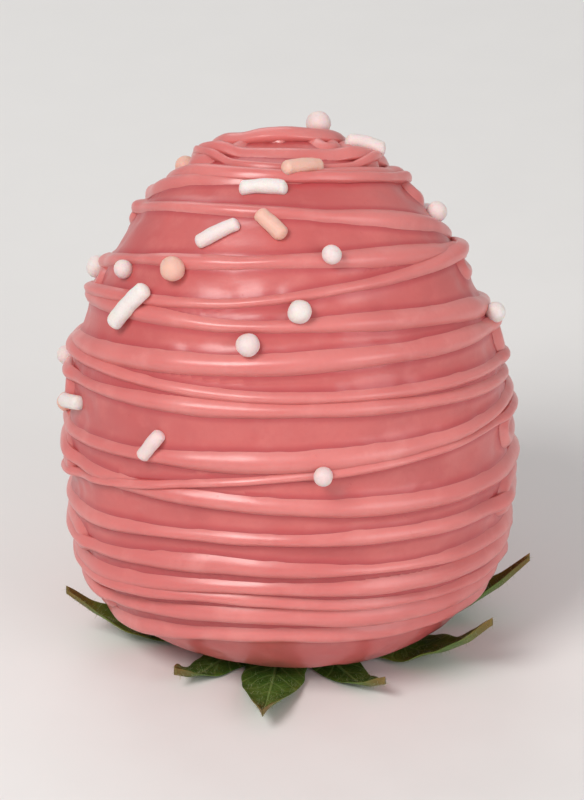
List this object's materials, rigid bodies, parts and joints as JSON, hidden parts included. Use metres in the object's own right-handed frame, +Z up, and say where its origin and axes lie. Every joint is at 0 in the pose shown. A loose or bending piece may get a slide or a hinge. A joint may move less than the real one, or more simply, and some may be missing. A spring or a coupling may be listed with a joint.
{
  "type": "chocolate coated strawberry",
  "caption": "Strawberry in a coat of pink chocolate with fine drizzled ridges and a scatter of sugar sprinkles, standing tip up on its green leaf cap.",
  "frame": {"origin": "on the floor, at the centre of the stem's level cut face under the leaf cap", "axes": "+Z up through the berry to its tip; +X across its wider side; -Y towards the viewer"},
  "size_m": [0.0397, 0.0378, 0.0438],
  "materials": {
    "pink_chocolate": "satin chocolate coat in a warm coral pink",
    "pink_drizzle": "satin chocolate drizzle, a little lighter than the coat",
    "sugar_sprinkle": "matte white to peach sugar",
    "leaf": "soft, faintly hairy green leaf",
    "stem": "pale green fibrous stem, moist at the cut"
  },
  "bodies": {
    "root": {"coated_berry": "pink_chocolate", "calyx": "leaf", "stem": "stem"}
  },
  "joints": []
}
